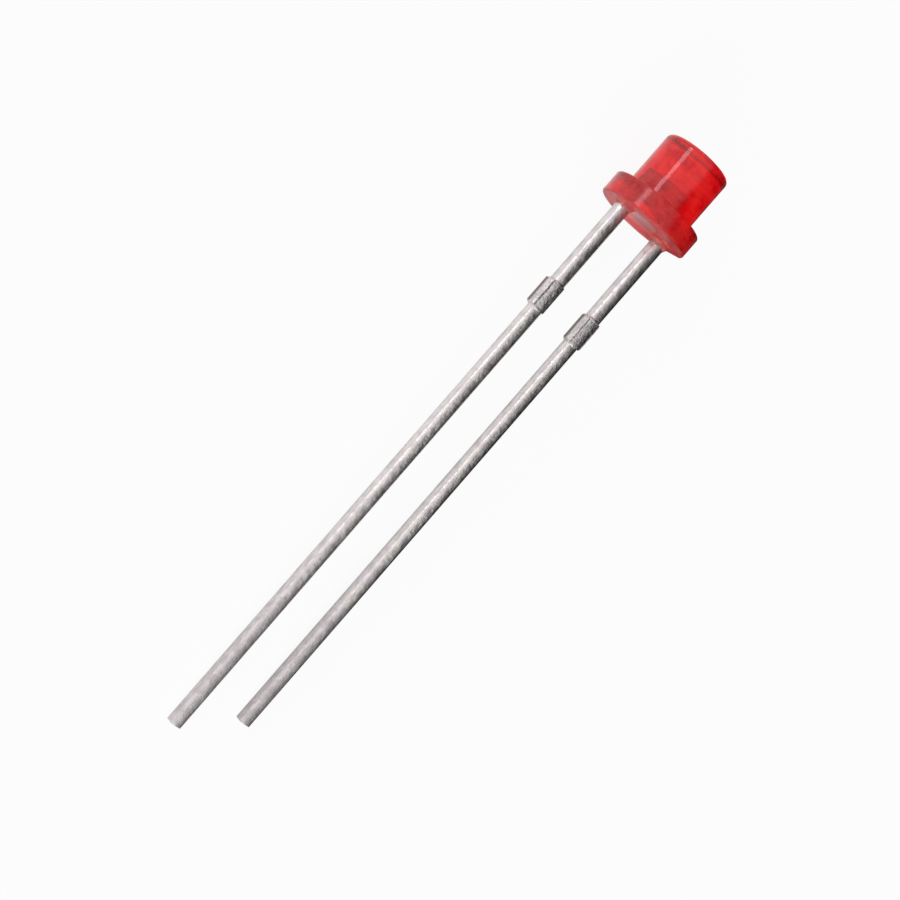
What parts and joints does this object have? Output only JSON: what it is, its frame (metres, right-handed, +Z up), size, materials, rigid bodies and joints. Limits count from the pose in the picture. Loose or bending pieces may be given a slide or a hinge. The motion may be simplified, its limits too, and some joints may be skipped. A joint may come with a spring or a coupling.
{
  "type": "through hole led",
  "caption": "Small round flat-top light-emitting diode in red tinted clear epoxy, with a flange and straight tinned leads for a circuit board.",
  "frame": {"origin": "on the surface the part lies on, under the centre of its bounding box", "axes": "+Z up from the surface; +Y along the part towards its flat top, the leads run towards -Y; the longer lead, the anode, is on the -X side. The part's own axis is tipped 3.99 degrees nose up, because it rests on the flange's rim and the lead tips"},
  "size_m": [0.004, 0.0298, 0.0041],
  "materials": {
    "red_epoxy": "clear epoxy tinted red, glossy, moulded",
    "tinned_steel": "hot tinned sheet steel, bright and faintly streaked along the lead",
    "chip": "sawn semiconductor, dark and smooth",
    "silver_glue": "silver filled epoxy glue, dull",
    "gold": "gold, bright"
  },
  "bodies": {
    "root": {"epoxy_case": "red_epoxy", "cathode_lead": "tinned_steel", "anode_lead": "tinned_steel", "led_die": "chip", "die_attach": "silver_glue", "bond_pad": "gold", "bond_wire": "gold"}
  },
  "joints": []
}
